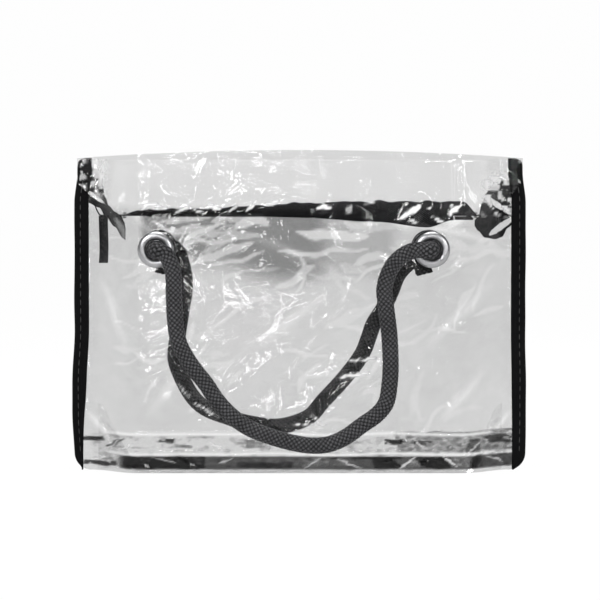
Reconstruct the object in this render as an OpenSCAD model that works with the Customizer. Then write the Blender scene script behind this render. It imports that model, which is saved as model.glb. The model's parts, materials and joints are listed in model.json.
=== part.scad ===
// Slim clear-film makeup bag: two film panels bound together down both sides, a folded bottom gusset,
// a zip recessed below the top edge and two braided rope handles knotted behind four eyelets.
// Millimetres. X runs along the bag, the front faces -Y, Z is up from the surface it stands on.

/* [Bag] */
// Width over both side bindings
bag_w = 220; // [180:1:280]
// Height of the side seams
bag_h = 152; // [135:1:200]
// Rise of the top edge at the middle of the bag
top_arch = 4; // [1:0.5:10]
// Depth over the two flat panels
bag_d = 40; // [36:1:60]
// Width at each end over which a panel tapers into the binding
side_taper = 32; // [28:1:36]
// Thickness of the clear film
film_t = 0.5; // [0.3:0.05:0.7]

/* [Side binding] */
// Visible width of the binding tape
binding_w = 7; // [5:0.5:10]
// Thickness of the binding tape on each side of the seam
binding_wall = 0.8; // [0.5:0.1:1.5]
// Radius of the turned-in lower corner
binding_corner = 8; // [4:0.5:12]

/* [Zip] */
// Distance from the end of a panel's flat stretch to the end of the opening zip
zip_inset = 3.5; // [3:0.5:8]
// Drop of the tape below the fold at the top edge
zip_drop = 26.2; // [22:0.2:28]
// Thickness of the woven zip tape
tape_t = 0.5; // [0.4:0.05:0.8]
// Half width of the flat floor that the two tapes make
tape_flat = 8.7; // [7.5:0.1:9.5]
// Width of tape turned up behind the facing
tape_lap = 7; // [5:0.5:9]
// Distance from the tape's bend to the lower edge of the facing
facing_stop = 3; // [2:0.5:4]
// Length of one tooth across the zip
tooth_l = 1; // [0.8:0.1:1.4]
// Height of a tooth
tooth_h = 1.6; // [1.2:0.1:2]
// Distance from one tooth to the next
tooth_pitch = 2.4; // [2:0.1:3]
// Width of the rail that the teeth stand on
rail_w = 0.8; // [0.6:0.1:1.2]
// Open space between the two rows of teeth
tooth_gap = 1.6; // [1.4:0.1:2]
// Length of a metal stop along the zip
stop_l = 1.5; // [1:0.1:2]

/* [Slider] */
// Length of the slider body
slider_l = 9; // [8:0.5:11]
// Width of the slider body
slider_w = 8.4; // [8:0.2:9]
// Thickness of the slider's upper and lower plates
slider_plate = 1.1; // [0.8:0.1:1.4]
// Length of the pull from its pin to its tip
pull_l = 17; // [13:0.5:17]
// Width of the pull
pull_w = 4.8; // [4.4:0.2:5.4]
// Thickness of the pull
pull_t = 1.2; // [1:0.1:1.4]
// Diameter of the pin that the pull turns on
pin_d = 1.2; // [1:0.1:1.2]

/* [Eyelets] */
// Distance from the end of a panel's flat stretch to an eyelet's centre
eyelet_inset = 11.5; // [11.5:0.5:20]
// Offset of the eyelet pair from the middle of the bag
eyelet_shift = -3; // [-3:0.5:3]
// Drop of the eyelet centres below the top of the side seams
eyelet_drop = 44; // [44:0.5:50]
// Bore that the rope passes through
eyelet_bore = 9; // [8.6:0.1:11]
// Outer diameter of the eyelet's face
eyelet_face = 17.5; // [15:0.5:20]
// Wall of the eyelet's barrel
eyelet_wall = 0.5; // [0.4:0.1:0.8]
// Height of the eyelet's domed face
eyelet_dome = 1.6; // [1:0.1:2.4]
// Thickness of the washer behind the film
washer_t = 0.8; // [0.5:0.1:1.2]
// Outer diameter of the washer
washer_d = 16.5; // [14.5:0.5:19]
// Width of the barrel's rolled lip
lip_w = 1.3; // [1:0.1:1.6]
// Thickness of the rolled lip
lip_t = 0.7; // [0.5:0.1:1]

/* [Rope] */
// Diameter of the braided rope
rope_d = 8; // [6:0.5:8]
// Diameter of the knot
knot_d = 17; // [14:0.5:17]
// Length of the knot along the eyelet's axis
knot_l = 11.5; // [9:0.5:12]
// Length of the cut rope end behind the knot
rope_tail = 5; // [3:0.5:5.5]

/* [Hidden] */
$fn = 48;

// Clearances
fit_gap = 0.1;      // between pieces that are sewn or clamped together
run_gap = 0.35;     // round the slider on the teeth and the tape
swing_gap = 0.3;    // between a rope loop and the rope end that it turns on
pin_gap = 0.05;     // round the pin of the pull
end_gap = 0.4;      // between the opening zip and its fixed ends

// Colours
film_colour = [0.86, 0.88, 0.9, 0.35];
black = [0.06, 0.06, 0.07];
rope_colour = [0.14, 0.14, 0.15];
nickel = [0.76, 0.77, 0.79];

// Film panels
half_w = bag_w / 2;
flat_half = half_w - side_taper;
outer_y = bag_d / 2;
panel_y = outer_y - film_t / 2;
panel_in = outer_y - film_t;
fin_t = 2 * tape_t;
seam_y = fin_t / 2 + fit_gap + film_t / 2;
seam_margin = 0.5;
seam_x = half_w - binding_w - seam_margin;
slot_x = half_w - binding_wall;
edge_x = slot_x - fit_gap;
curve_steps = 12;
arch_steps = 24;
corner_steps = 6;

// Zip trough. u is the distance from the middle plane, so that one profile serves both sides.
edge_margin = 1.5;
hinge_u = panel_in - fit_gap - film_t / 2;
hinge_z = bag_h - edge_margin;
zip_z = hinge_z - zip_drop;
zip_half = flat_half - zip_inset;
tape_in = tooth_gap / 2 + tooth_l + rail_w;
lap_gap = (film_t + tape_t) / 2;
trough_run = hinge_u - tape_flat;
facing_reach = sqrt(trough_run * trough_run + zip_drop * zip_drop);
facing_lean = atan(trough_run / zip_drop) + asin(lap_gap / facing_reach);
facing_dir = [-sin(facing_lean), -cos(facing_lean)];
facing_l = sqrt(facing_reach * facing_reach - lap_gap * lap_gap) - facing_stop;

// Slider and the fixed zip ends
park_x = zip_half + slider_l / 2 + 2 * end_gap;
stop_x = park_x + slider_l / 2 + end_gap;
stop_h = tooth_h + 2 * run_gap + 0.7;
slot_end = stop_x + stop_l + 1.2;
end_start = zip_half + end_gap;
end_tip = seam_x - 6;
end_side_gap = 0.8;
fin_rise = 12;
leaf_l = 5;
leaf_drop = 12;
leaf_slant = 1.5;
tail_w = 4.4;
tail_l = 23;
plate_z = tooth_h / 2 + run_gap;
post_w = tooth_gap - 2 * run_gap;
post_l = 2.5;
bail_w = 1.6;
bail_foot = 4.4;
bail_top = 2.4;
bail_wall = 0.6;
pin_z = pin_d / 2 + 0.25;
fork_gap = 0.15;
fork_l = 3.4;

// Eyelets and ropes. a is the distance outward from the outer face of the film.
bore_r = eyelet_bore / 2;
barrel_r = bore_r + eyelet_wall;
lip_a = -(film_t + washer_t);
knot_a = lip_a - lip_t;
rope_r = rope_d / 2;
hang = rope_r + eyelet_dome + 0.9;
handle_y = outer_y + hang;
stub_a = hang - rope_r - swing_gap;
knot_bulge = 2.6;
rope_sides = 10;
eyelet_z = bag_h - eyelet_drop;
eyelet_xs = [for (side = [-1, 1]) eyelet_shift + side * (flat_half - eyelet_inset)];

// Routes of the two rope loops in their own planes, as [x, z] between the eyelets' centres
front_route = [
  [-64, 105.5], [-61, 98], [-60.5, 86], [-60, 75], [-58.5, 65], [-55.5, 58], [-50.5, 50.5],
  [-45, 43.5], [-40, 36], [-33, 28.5], [-24.5, 22.5], [-13, 18], [-1.5, 15], [7.5, 14], [15, 15],
  [22.5, 18.5], [30, 24], [37, 29], [41.5, 35], [43, 43.5], [43.5, 52], [43, 66], [42, 75],
  [41, 83], [40.5, 90], [43, 98], [48, 104.5], [55, 108]
];
back_route = [
  [-61.5, 107], [-58, 98], [-57, 88], [-60, 68], [-62, 54], [-59, 44], [-53.5, 34], [-47, 28],
  [-37, 24], [-25, 20.5], [-10, 19], [4, 23.5], [11, 31], [22, 43], [30.5, 54.5], [34, 63],
  [36.5, 70], [41, 77], [45, 85.5], [49, 95], [56, 102]
];

// Depth of the panel's middle surface along the bag: flat, then an easy curve into the side seam
function ease(t) = t * t * (3 - 2 * t);
function taper(x) = min(1, max(0, (abs(x) - flat_half) / (seam_x - flat_half)));
function film_y(x) = panel_y - (panel_y - seam_y) * ease(taper(x));
function film_slope(x) = (panel_y - seam_y) * 6 * taper(x) * (1 - taper(x)) / (seam_x - flat_half);
function inner_y(x) = film_y(x) - film_t / 2 * sqrt(1 + pow(film_slope(x), 2));
function curve_x(i) = flat_half + (seam_x - flat_half) * i / curve_steps;

function unit(v) = v / norm(v);

// Corner offset of a folded strip at point i of its path, for a strip of unit half thickness
function left_of(v) = [-v[1], v[0]];
function step_dir(path, i) = unit(path[i + 1] - path[i]);
function first_dir(path, i) = step_dir(path, max(i - 1, 0));
function last_dir(path, i) = step_dir(path, min(i, len(path) - 2));
function mitre(path, i) =
  let (n = unit(left_of(first_dir(path, i)) + left_of(last_dir(path, i))))
  n / (n * left_of(last_dir(path, i)));

// Flat strip of even thickness along a path
module ribbon(path, t) {
  last = len(path) - 1;
  polygon(concat(
    [for (i = [0:last]) path[i] + mitre(path, i) * t / 2],
    [for (i = [last:-1:0]) path[i] - mitre(path, i) * t / 2]
  ));
}

// Turns a profile drawn as [u, z] into a piece that runs along X, on the back half
module along_x(from, to) {
  translate([from, 0, 0]) rotate([90, 0, 90]) linear_extrude(to - from) children();
}

// Turns an outline drawn as [x, z] into a plate of thickness t on the middle plane
module upright(t) {
  translate([0, t / 2, 0]) rotate([90, 0, 0]) linear_extrude(t) children();
}

// Places a piece drawn on the back half at the front
module at_front() {
  mirror([0, 1, 0]) children();
}

// Turns a profile drawn as [radius, a] about an eyelet's axis, on the back panel
module on_eyelet(x) {
  translate([x, outer_y, eyelet_z]) rotate([-90, 0, 0]) children();
}

// Outline of a panel: gently arched top edge, straight sides and lower corners that follow the binding's
module panel_outline() {
  corner_x = half_w - binding_corner;
  right_corner = [for (i = [0:corner_steps])
    let (a = 90 * i / corner_steps)
    [corner_x + (edge_x - corner_x) * sin(a), binding_corner * (1 - cos(a))]];
  top_edge = [for (i = [0:arch_steps])
    let (x = edge_x * (1 - 2 * i / arch_steps))
    [x, bag_h + top_arch * (1 - pow(x / edge_x, 2))]];
  left_corner = [for (i = [corner_steps:-1:0]) [-right_corner[i][0], right_corner[i][1]]];
  polygon(concat(right_corner, top_edge, left_corner));
}

module panel() {
  path = concat(
    [[-edge_x, seam_y]],
    [for (i = [curve_steps:-1:0]) [-curve_x(i), film_y(curve_x(i))]],
    [for (i = [0:curve_steps]) [curve_x(i), film_y(curve_x(i))]],
    [[edge_x, seam_y]]
  );
  difference() {
    intersection() {
      linear_extrude(bag_h + top_arch) ribbon(path, film_t);
      upright(2 * bag_d) panel_outline();
    }
    for (x = eyelet_xs)
      on_eyelet(x) translate([0, 0, -2 * film_t]) cylinder(h = 4 * film_t, r = barrel_r + fit_gap);
  }
}

module front_panel() {
  color(film_colour) at_front() panel();
}

module back_panel() {
  color(film_colour) panel();
}

// One end of the gusset: as the panels close in, its middle fold rises between them
module gusset_end() {
  rings = curve_steps - 2;
  foot = [for (i = [0:rings])
    let (y = inner_y(curve_x(i)))
    i == 0 ? panel_in : y - (film_t + fit_gap) * sqrt(1 - pow(y / panel_in, 2))];
  rise = [for (y = foot) sqrt(panel_in * panel_in - y * y)];
  points = [for (i = [0:rings])
    let (lean = asin(rise[i] / panel_in), peak = film_t / cos(lean), x = curve_x(i))
    each [
      [x, -foot[i], 0], [x, 0, rise[i]], [x, foot[i], 0],
      [x, foot[i] + film_t * sin(lean), film_t * cos(lean)], [x, 0, rise[i] + peak],
      [x, -foot[i] - film_t * sin(lean), film_t * cos(lean)]
    ]];
  sides = [for (i = [0:rings - 1]) for (k = [0:5])
    let (a = 6 * i + k, b = 6 * i + (k + 1) % 6)
    each [[b, a, b + 6], [b + 6, a, a + 6]]];
  tip = 6 * rings;
  caps = [
    [4, 0, 1], [5, 0, 4], [4, 1, 3], [3, 1, 2],
    [tip + 1, tip, tip + 4], [tip + 4, tip, tip + 5], [tip + 3, tip + 1, tip + 4], [tip + 2, tip + 1, tip + 3]
  ];
  polyhedron(points, concat(sides, caps));
}

module bottom_gusset() {
  color(film_colour) {
    translate([-flat_half, -panel_in, 0]) cube([2 * flat_half, 2 * panel_in, film_t]);
    gusset_end();
    mirror([1, 0, 0]) gusset_end();
  }
}

// Folded tape round the seam edge: a U in plan, with its lower outer corner turned in
module binding() {
  slot = seam_y + film_t / 2 + fit_gap;
  outer = slot + binding_wall;
  round_r = binding_wall;
  intersection() {
    linear_extrude(bag_h) difference() {
      union() {
        translate([half_w - binding_w, -outer]) square([binding_w - round_r, 2 * outer]);
        translate([half_w - binding_w, round_r - outer]) square([binding_w, 2 * (outer - round_r)]);
        for (side = [-1, 1])
          translate([half_w - round_r, side * (outer - round_r)]) circle(round_r);
      }
      translate([0, -slot]) square([slot_x, 2 * slot]);
    }
    upright(2 * bag_d) union() {
      square([half_w - binding_corner, bag_h]);
      translate([0, binding_corner]) square([half_w, bag_h - binding_corner]);
      translate([half_w - binding_corner, binding_corner]) circle(binding_corner);
    }
  }
}

module left_binding() {
  color(black) mirror([1, 0, 0]) binding();
}

module right_binding() {
  color(black) binding();
}

// Strip of film from the fold at the top edge down to the zip tape
module zip_facing() {
  fold = [hinge_u, hinge_z];
  along_x(-zip_half, zip_half) ribbon([fold, fold + facing_dir * facing_l], film_t);
}

// Zip tape: the flat floor of the trough, then a lap that turns up behind the facing
module zip_tape() {
  bend = [tape_flat, zip_z];
  along_x(-zip_half, zip_half)
    ribbon([[tape_in, zip_z], bend, bend - facing_dir * tape_lap], tape_t);
}

// Comb of moulded teeth along the tape's edge, moved on along the zip by a share of the pitch
module zip_teeth(share) {
  count = floor(2 * zip_half / tooth_pitch) - 1;
  start = -count * tooth_pitch / 2 + (share - 0.5) * tooth_pitch;
  tooth_w = 0.45 * tooth_pitch;
  root = tooth_gap / 2 + tooth_l;
  translate([0, 0, zip_z - tooth_h / 2]) linear_extrude(tooth_h) polygon(concat(
    [[zip_half, tape_in], [-zip_half, tape_in], [-zip_half, root]],
    [for (i = [0:count - 1])
      let (x = start + (i + 0.5) * tooth_pitch)
      each [
        [x - tooth_w / 2, root], [x - tooth_w / 2, tooth_gap / 2],
        [x + tooth_w / 2, tooth_gap / 2], [x + tooth_w / 2, root]
      ]],
    [[zip_half, root]]
  ));
}

module front_zip_facing() {
  color(film_colour) at_front() zip_facing();
}

module back_zip_facing() {
  color(film_colour) zip_facing();
}

module front_zip_tape() {
  color(black) at_front() zip_tape();
}

module back_zip_tape() {
  color(black) zip_tape();
}

module front_zip_teeth() {
  color(black) at_front() zip_teeth(0.25);
}

module back_zip_teeth() {
  color(black) zip_teeth(0.75);
}

// Fixed end of the tapes: flat beside the parked slider, then folded into a fin that the seam holds
module zip_end() {
  wide = min(tape_flat, inner_y(slot_end) - end_side_gap);
  tip_w = inner_y(end_tip) - end_side_gap;
  translate([0, 0, zip_z - tape_t / 2]) linear_extrude(tape_t) difference() {
    polygon([
      [end_start, -tape_flat], [stop_x, -wide], [slot_end, -wide], [end_tip, -tip_w],
      [end_tip, tip_w], [slot_end, wide], [stop_x, wide], [end_start, tape_flat]
    ]);
    translate([0, -tape_in]) square([slot_end, 2 * tape_in]);
  }
  fin_start = slot_end + fit_gap;
  fin_end = seam_x + binding_w / 3;
  leaf_start = slot_end - leaf_l;
  leaf_top = zip_z - plate_z - slider_plate - 2 * run_gap;
  upright(fin_t) polygon([
    [fin_start, leaf_top], [leaf_start, leaf_top], [leaf_start + leaf_slant, zip_z - 0.75 * leaf_drop],
    [fin_start + 2 * leaf_slant, zip_z - leaf_drop], [end_tip + leaf_slant, zip_z - 0.6 * leaf_drop],
    [end_tip + 2 * leaf_slant, zip_z - leaf_slant], [fin_end, zip_z + fin_rise / 2], [fin_end, zip_z + fin_rise],
    [end_tip + 1.5 * leaf_slant, zip_z + fin_rise / 2], [end_tip + leaf_slant, zip_z + tape_t], [fin_start, zip_z]
  ]);
}

module left_zip_end() {
  color(black) mirror([1, 0, 0]) zip_end();
}

module right_zip_end() {
  color(black) zip_end();
}

// Loose end of tape that hangs from under the left zip end, against its fin
module zip_tape_tail() {
  color(black) translate([-end_tip - leaf_slant, -fin_t / 2 - tape_t, zip_z - tape_t / 2 - tail_l])
    cube([tail_w, tape_t, tail_l]);
}

// Metal clips on the tapes' edges that stop the slider
module zip_stops() {
  stop_w = tape_in - post_w / 2 - run_gap;
  color(nickel)
    for (end = [0, 1])
      for (side = [0, 1])
        mirror([end, 0, 0]) mirror([0, side, 0])
          translate([stop_x, tape_in - stop_w, zip_z - stop_h / 2]) cube([stop_l, stop_w, stop_h]);
}

// Outline of the slider in plan: wide shoulders, narrower nose and tail
module slider_plan() {
  half = slider_w / 2;
  end = slider_l / 2;
  polygon([
    [-end, -0.75 * half], [-0.5 * end, -half], [0.5 * end, -half], [end, -0.6 * half],
    [end, 0.6 * half], [0.5 * end, half], [-0.5 * end, half], [-end, 0.75 * half]
  ]);
}

module slider_lips() {
  lip_in = tape_in + run_gap;
  intersection() {
    slider_plan();
    for (side = [0, 1])
      mirror([0, side]) translate([-slider_l / 2, lip_in]) square([slider_l, slider_w]);
  }
}

// Slider: two plates joined by a post between the rows of teeth, and a bail for the pull
module zip_slider() {
  lip_z = tape_t / 2 + run_gap;
  color(black) translate([park_x, 0, zip_z]) {
    for (side = [0, 1])
      mirror([0, 0, side]) {
        translate([0, 0, plate_z]) linear_extrude(slider_plate) slider_plan();
        translate([0, 0, lip_z]) linear_extrude(plate_z - lip_z + slider_plate / 2) slider_lips();
      }
    translate([slider_l / 2 - post_l - 1, -post_w / 2, -plate_z - slider_plate / 2])
      cube([post_l, post_w, 2 * plate_z + slider_plate]);
    translate([0, 0, plate_z + slider_plate]) upright(bail_w) difference() {
      union() {
        polygon([
          [-bail_foot / 2, -slider_plate / 2], [bail_foot / 2, -slider_plate / 2], [bail_foot / 2, 0],
          [bail_top / 2, pin_z], [-bail_top / 2, pin_z], [-bail_foot / 2, 0]
        ]);
        translate([0, pin_z]) circle(pin_d / 2 + pin_gap + bail_wall);
      }
      translate([0, pin_z]) circle(pin_d / 2 + pin_gap);
    }
  }
}

// Pull: a fork with a pin through the bail, widening into a flat tongue with a slot
module zip_pull() {
  arm_in = bail_w / 2 + fork_gap;
  slot_w = pull_w - 2.4;
  color(black) translate([park_x, 0, zip_z + plate_z + slider_plate + pin_z]) {
    rotate([90, 0, 0]) cylinder(h = pull_w, d = pin_d, center = true);
    for (side = [0, 1])
      mirror([0, side, 0]) translate([-fork_l, arm_in, 0]) {
        translate([0, 0, -pull_t / 2]) cube([fork_l, pull_w / 2 - arm_in, pull_t]);
        translate([fork_l, 0, 0]) rotate([-90, 0, 0]) cylinder(h = pull_w / 2 - arm_in, d = pull_t);
      }
    translate([0, 0, -pull_t / 2]) linear_extrude(pull_t) difference() {
      union() {
        translate([pull_w / 2 - pull_l, -pull_w / 2]) square([pull_l - pull_w / 2 - fork_l, pull_w]);
        translate([pull_w / 2 - pull_l, 0]) circle(d = pull_w);
      }
      for (x = [pull_w / 2 - pull_l, -pull_l / 2])
        translate([x, 0]) circle(d = slot_w);
      translate([pull_w / 2 - pull_l, -slot_w / 2]) square([pull_l / 2 - pull_w / 2, slot_w]);
    }
  }
}

// Eyelet: domed face outside the film, barrel through it and a lip rolled over the washer
module eyelet() {
  mid_r = (bore_r + eyelet_face / 2) / 2;
  half_face = eyelet_face / 2 - mid_r;
  rotate_extrude() {
    polygon([for (a = [0:15:180]) [mid_r + half_face * cos(a), eyelet_dome * sin(a)]]);
    translate([bore_r, knot_a]) square([eyelet_wall, -knot_a + eyelet_dome / 4]);
    translate([bore_r, knot_a]) square([eyelet_wall + lip_w, lip_t]);
  }
}

module washer() {
  inner = barrel_r + fit_gap;
  rotate_extrude() translate([inner, lip_a]) square([washer_d / 2 - inner, washer_t]);
}

module front_left_eyelet() {
  color(nickel) at_front() on_eyelet(eyelet_xs[0]) eyelet();
}

module front_right_eyelet() {
  color(nickel) at_front() on_eyelet(eyelet_xs[1]) eyelet();
}

module back_left_eyelet() {
  color(nickel) on_eyelet(eyelet_xs[0]) eyelet();
}

module back_right_eyelet() {
  color(nickel) on_eyelet(eyelet_xs[1]) eyelet();
}

module front_left_washer() {
  color(nickel) at_front() on_eyelet(eyelet_xs[0]) washer();
}

module front_right_washer() {
  color(nickel) at_front() on_eyelet(eyelet_xs[1]) washer();
}

module back_left_washer() {
  color(nickel) on_eyelet(eyelet_xs[0]) washer();
}

module back_right_washer() {
  color(nickel) on_eyelet(eyelet_xs[1]) washer();
}

// End of a rope in one turned profile: through the eyelet, round the knot behind it and out to the cut end
module rope_end() {
  reach = 60;
  knot_end = knot_a - knot_l;
  color(rope_colour) rotate_extrude() polygon(concat(
    [[0, knot_end - rope_tail], [rope_r, knot_end - rope_tail], [rope_r, knot_end]],
    [for (a = [-reach:15:reach])
      [knot_d / 2 - knot_bulge * (1 - cos(a)) / (1 - cos(reach)),
       knot_end + knot_l / 2 * (1 + sin(a) / sin(reach))]],
    [[rope_r, knot_a], [rope_r, stub_a], [0, stub_a]]
  ));
}

module rope_ends() {
  for (x = eyelet_xs)
    on_eyelet(x) rope_end();
}

module front_rope_ends() {
  at_front() rope_ends();
}

module back_rope_ends() {
  rope_ends();
}

// Round rope swept along a route on a plane of constant y, with rounded ends on the swing axis
module rope_loop(route, y) {
  ends = [for (x = eyelet_xs) [x, y, eyelet_z]];
  path = concat([ends[0]], [for (p = route) [p[0], y, p[1]]], [ends[1]]);
  last = len(path) - 1;
  dirs = [for (i = [0:last]) unit(path[min(i + 1, last)] - path[max(i - 1, 0)])];
  caps = [60, 30];
  stations = concat(
    [for (b = caps) [path[0] - dirs[0] * rope_r * sin(b), dirs[0], rope_r * cos(b)]],
    [for (i = [0:last]) [path[i], dirs[i], rope_r]],
    [for (i = [1, 0]) [path[last] + dirs[last] * rope_r * sin(caps[i]), dirs[last], rope_r * cos(caps[i])]]
  );
  rings = len(stations);
  across = [0, 1, 0];
  points = [for (s = stations) for (k = [0:rope_sides - 1])
    let (a = 360 * k / rope_sides)
    s[0] + s[2] * (cos(a) * across + sin(a) * cross(s[1], across))];
  sides = [for (i = [0:rings - 2]) for (k = [0:rope_sides - 1])
    let (a = rope_sides * i + k, b = rope_sides * i + (k + 1) % rope_sides)
    each [[a, b, b + rope_sides], [a, b + rope_sides, a + rope_sides]]];
  start_cap = [[for (k = [rope_sides - 1:-1:0]) k]];
  end_cap = [[for (k = [0:rope_sides - 1]) rope_sides * (rings - 1) + k]];
  color(rope_colour) polyhedron(points, concat(sides, start_cap, end_cap));
}

module front_handle() {
  rope_loop(front_route, -handle_y);
}

module back_handle() {
  rope_loop(back_route, handle_y);
}

front_panel();
back_panel();
bottom_gusset();
left_binding();
right_binding();
front_zip_facing();
back_zip_facing();
front_zip_tape();
back_zip_tape();
front_zip_teeth();
back_zip_teeth();
left_zip_end();
right_zip_end();
zip_tape_tail();
zip_stops();
zip_slider();
zip_pull();
front_left_eyelet();
front_right_eyelet();
back_left_eyelet();
back_right_eyelet();
front_left_washer();
front_right_washer();
back_left_washer();
back_right_washer();
front_rope_ends();
back_rope_ends();
front_handle();
back_handle();
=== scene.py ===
"""Looks of the clear makeup bag: film, rope, woven tape and metal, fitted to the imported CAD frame."""

import json
import random
from math import cos, exp, hypot, pi, radians, sin, sqrt

import bmesh
import bpy
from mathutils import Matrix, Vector, noise


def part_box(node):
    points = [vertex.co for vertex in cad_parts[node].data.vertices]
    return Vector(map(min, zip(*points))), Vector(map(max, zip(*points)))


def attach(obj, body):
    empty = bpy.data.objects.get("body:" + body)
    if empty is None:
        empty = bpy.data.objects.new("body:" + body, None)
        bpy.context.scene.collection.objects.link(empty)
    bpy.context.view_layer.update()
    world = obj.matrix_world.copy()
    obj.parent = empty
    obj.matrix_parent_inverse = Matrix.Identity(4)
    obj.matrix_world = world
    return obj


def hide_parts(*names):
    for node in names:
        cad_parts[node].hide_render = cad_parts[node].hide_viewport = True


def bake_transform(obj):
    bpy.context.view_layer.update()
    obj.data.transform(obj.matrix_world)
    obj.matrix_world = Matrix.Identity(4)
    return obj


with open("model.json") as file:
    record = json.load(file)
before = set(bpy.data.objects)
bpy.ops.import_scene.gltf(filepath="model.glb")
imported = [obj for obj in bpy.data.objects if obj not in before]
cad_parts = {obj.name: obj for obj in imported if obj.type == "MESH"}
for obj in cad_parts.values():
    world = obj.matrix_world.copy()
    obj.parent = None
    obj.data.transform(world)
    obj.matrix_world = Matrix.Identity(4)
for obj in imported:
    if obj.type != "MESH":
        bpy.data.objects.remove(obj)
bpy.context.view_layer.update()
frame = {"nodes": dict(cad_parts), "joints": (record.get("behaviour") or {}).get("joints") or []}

# Lengths below are in millimetres and become metres when a mesh is made.
MM = 0.001


def box_mm(node):
    """Lowest and highest corner of a CAD node, in millimetres."""
    low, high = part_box(node)
    return low / MM, high / MM


def joint_pos(name):
    """Where a joint's axis stands, in millimetres."""
    joint = next(j for j in frame["joints"] if j["name"] == name)
    return Vector(joint["pos_m"]) / MM


# Sizes from the frame

binding_low, binding_high = box_mm("right_binding")
HALF_W = binding_high.x
BINDING_IN = binding_low.x
BINDING_HALF_T = binding_high.y
BAG_H = binding_high.z
_, panel_high = box_mm("back_panel")
EDGE_X = panel_high.x
OUTER_Y = panel_high.y
ARCH = panel_high.z - BAG_H
teeth_low, teeth_high = box_mm("back_zip_teeth")
ZIP_HALF = teeth_high.x
ZIP_Z = (teeth_low.z + teeth_high.z) / 2
TEETH_Y = teeth_high.y
_, tape_high = box_mm("back_zip_tape")
TAPE_TOP = tape_high.z
hinge = joint_pos("back_flap_open")
gusset_low, gusset_high = box_mm("bottom_gusset")
tail_low, tail_high = box_mm("zip_tape_tail")
eyelet_low, eyelet_high = box_mm("front_left_eyelet")
EYELET_R = (eyelet_high.x - eyelet_low.x) / 2
LOOP_Y = -joint_pos("front_handle_swing").y

# Sizes that a node's box doesn't give, as in the CAD
FILM_T = 0.5
FLAT_HALF = 78
SEAM_X = 102.5
SEAM_Y = 0.85
TAPE_FLAT = 8.7
TAPE_T = 0.5
ROPE_D = 8
BINDING_CORNER = 8

SIDES = {"front": -1, "back": 1}
ENDS = {"left": -1, "right": 1}
EYELETS = {
    (side, end): sum(box_mm(f"{side}_{end}_eyelet"), Vector()) / 2
    for side in SIDES
    for end in ENDS
}


# Shapes

def ease(t):
    """Smooth step from 0 to 1, held outside that range."""
    t = min(max(t, 0.0), 1.0)
    return t * t * (3 - 2 * t)


def mix(a, b, t):
    return a + (b - a) * t


def curve_at(points, x):
    """Smooth curve through [x, value] points in rising x, held at both ends."""
    if x <= points[0][0]:
        return points[0][1]
    for (x0, v0), (x1, v1) in zip(points, points[1:]):
        if x <= x1:
            return mix(v0, v1, ease((x - x0) / (x1 - x0)))
    return points[-1][1]


def film_y(x):
    """Distance of a panel's film from the middle plane: flat, then drawn in to the side seam."""
    flat_y = OUTER_Y - FILM_T / 2
    return mix(flat_y, SEAM_Y, ease((abs(x) - FLAT_HALF) / (SEAM_X - FLAT_HALF)))


def room_y(x, gap):
    """How far from the middle plane a piece reaches that keeps a gap to the inside of a panel's film."""
    return film_y(x) - FILM_T - gap


def top_z(x):
    """Height of a panel's arched top edge."""
    return BAG_H + ARCH * (1 - (x / EDGE_X) ** 2)


def ripple(x, y, scale, seed):
    """Smooth noise from about -1 to 1 over a plane, with features of about the given scale."""
    return noise.noise(Vector((x / scale, y / scale, seed)))


def beside_line(x, z, x0, z0, x1, z1):
    """How far along a line a point lies, from 0 to 1 between its ends, and how far beside it."""
    along_x, along_z = x1 - x0, z1 - z0
    length = hypot(along_x, along_z)
    t = ((x - x0) * along_x + (z - z0) * along_z) / length**2
    return t, ((x - x0) * along_z - (z - z0) * along_x) / length


def window(value, low, high, soft):
    """1 between low and high, falling to 0 over the soft width inside both."""
    return ease((value - low) / soft) * ease((high - value) / soft)


PATH_SAMPLES = 24


def smooth_path(points, step):
    """Points an even step apart on a smooth curve through the given points."""
    points = [Vector(p) for p in points]
    ends = [2 * points[0] - points[1]] + points + [2 * points[-1] - points[-2]]
    fine = []
    for a, b, c, d in zip(ends, ends[1:], ends[2:], ends[3:]):
        for i in range(PATH_SAMPLES):
            t = i / PATH_SAMPLES
            fine.append(0.5 * (2 * b + (c - a) * t + (2 * a - 5 * b + 4 * c - d) * t**2
                               + (3 * b - a - 3 * c + d) * t**3))
    fine.append(points[-1])
    return even_path(fine, step)


def even_path(points, step):
    """The same line with its points an even step apart."""
    lengths = [0.0]
    for a, b in zip(points, points[1:]):
        lengths.append(lengths[-1] + (b - a).length)
    count = max(2, round(lengths[-1] / step))
    spaced = []
    at = 0
    for i in range(count + 1):
        wanted = lengths[-1] * i / count
        while at < len(points) - 2 and lengths[at + 1] < wanted:
            at += 1
        gap = lengths[at + 1] - lengths[at]
        spaced.append(points[at].lerp(points[at + 1], (wanted - lengths[at]) / gap if gap else 0))
    return spaced


def path_length(points):
    return sum((b - a).length for a, b in zip(points, points[1:]))


def ahead(points, i):
    """Which way a path runs at one of its points."""
    return points[min(i + 1, len(points) - 1)] - points[max(i - 1, 0)]


def path_frames(points, first_side):
    """Two cross directions at each point, turned as little as possible along the path."""
    frames = []
    side = Vector(first_side)
    for i in range(len(points)):
        tangent = ahead(points, i).normalized()
        side = (side - tangent * side.dot(tangent)).normalized()
        frames.append((side, tangent.cross(side)))
    return frames


# Meshes

def grid_faces(columns, rows, closed=False, start=0):
    """Quads over a grid of columns by rows of points, closed round the rows if asked."""
    faces = []
    for c in range(columns - 1):
        for r in range(rows if closed else rows - 1):
            following = (r + 1) % rows
            faces.append((start + c * rows + r, start + (c + 1) * rows + r,
                          start + (c + 1) * rows + following, start + c * rows + following))
    return faces


SHARP_ANGLE = radians(50)


def add_object(name, data):
    thing = bpy.data.objects.new(name, data)
    bpy.context.scene.collection.objects.link(thing)
    return thing


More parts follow.
